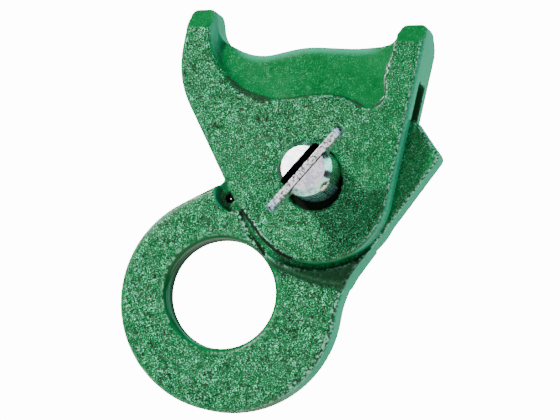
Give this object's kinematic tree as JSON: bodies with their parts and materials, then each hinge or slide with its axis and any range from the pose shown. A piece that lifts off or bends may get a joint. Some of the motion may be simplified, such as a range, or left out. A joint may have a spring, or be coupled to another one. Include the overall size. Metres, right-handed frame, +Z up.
{
  "type": "beam clamp",
  "caption": "Cast beam clamp: a two-horned saddle body, an eye lever that swings in its slot, and a forked pin locked by a folding toggle bar.",
  "frame": {"origin": "centre of the load eye, at the middle of the lever's thickness", "axes": "+X to the right and +Z up as seen from the side that the toggle bar is on, +Y away from that side, along the pin"},
  "size_m": [0.1355, 0.0657, 0.1698],
  "materials": {
    "green_paint": "glossy green paint over a coarse sand casting",
    "zinc_plate": "bright zinc plate over turned and sheared steel",
    "rivet_steel": "plain steel, lightly oiled",
    "spring_steel": "drawn spring wire, lightly oiled",
    "bronze": "turned bearing bronze"
  },
  "bodies": {
    "body": {"clamp_body": "green_paint", "spring_anchor_pin": "rivet_steel", "return_spring": "spring_steel"},
    "lever": {"eye_lever": "green_paint", "lever_bush": "bronze"},
    "pin": {"pivot_pin": "zinc_plate", "toggle_rivet": "rivet_steel"},
    "toggle": {"toggle_bar": "zinc_plate"}
  },
  "joints": [
    {"name": "lever_swing", "type": "hinge", "parent": "body", "child": "lever", "pos_m": [0.0412, 0, 0.0486], "axis": [0, -1, 0], "range_deg": [0, 24], "stiffness_Nm_per_rad": 1.54, "springref_deg": -22.35, "deforming": ["return_spring"]},
    {"name": "pin_turn", "type": "hinge", "parent": "body", "child": "pin", "pos_m": [0.0412, 0, 0.0486], "axis": [0, -1, 0], "continuous": true},
    {"name": "toggle_fold", "type": "hinge", "parent": "pin", "child": "toggle", "pos_m": [0.0412, -0.0374, 0.0486], "axis": [0.7385, 0, -0.6743], "range_deg": [-90, 90]}
  ]
}
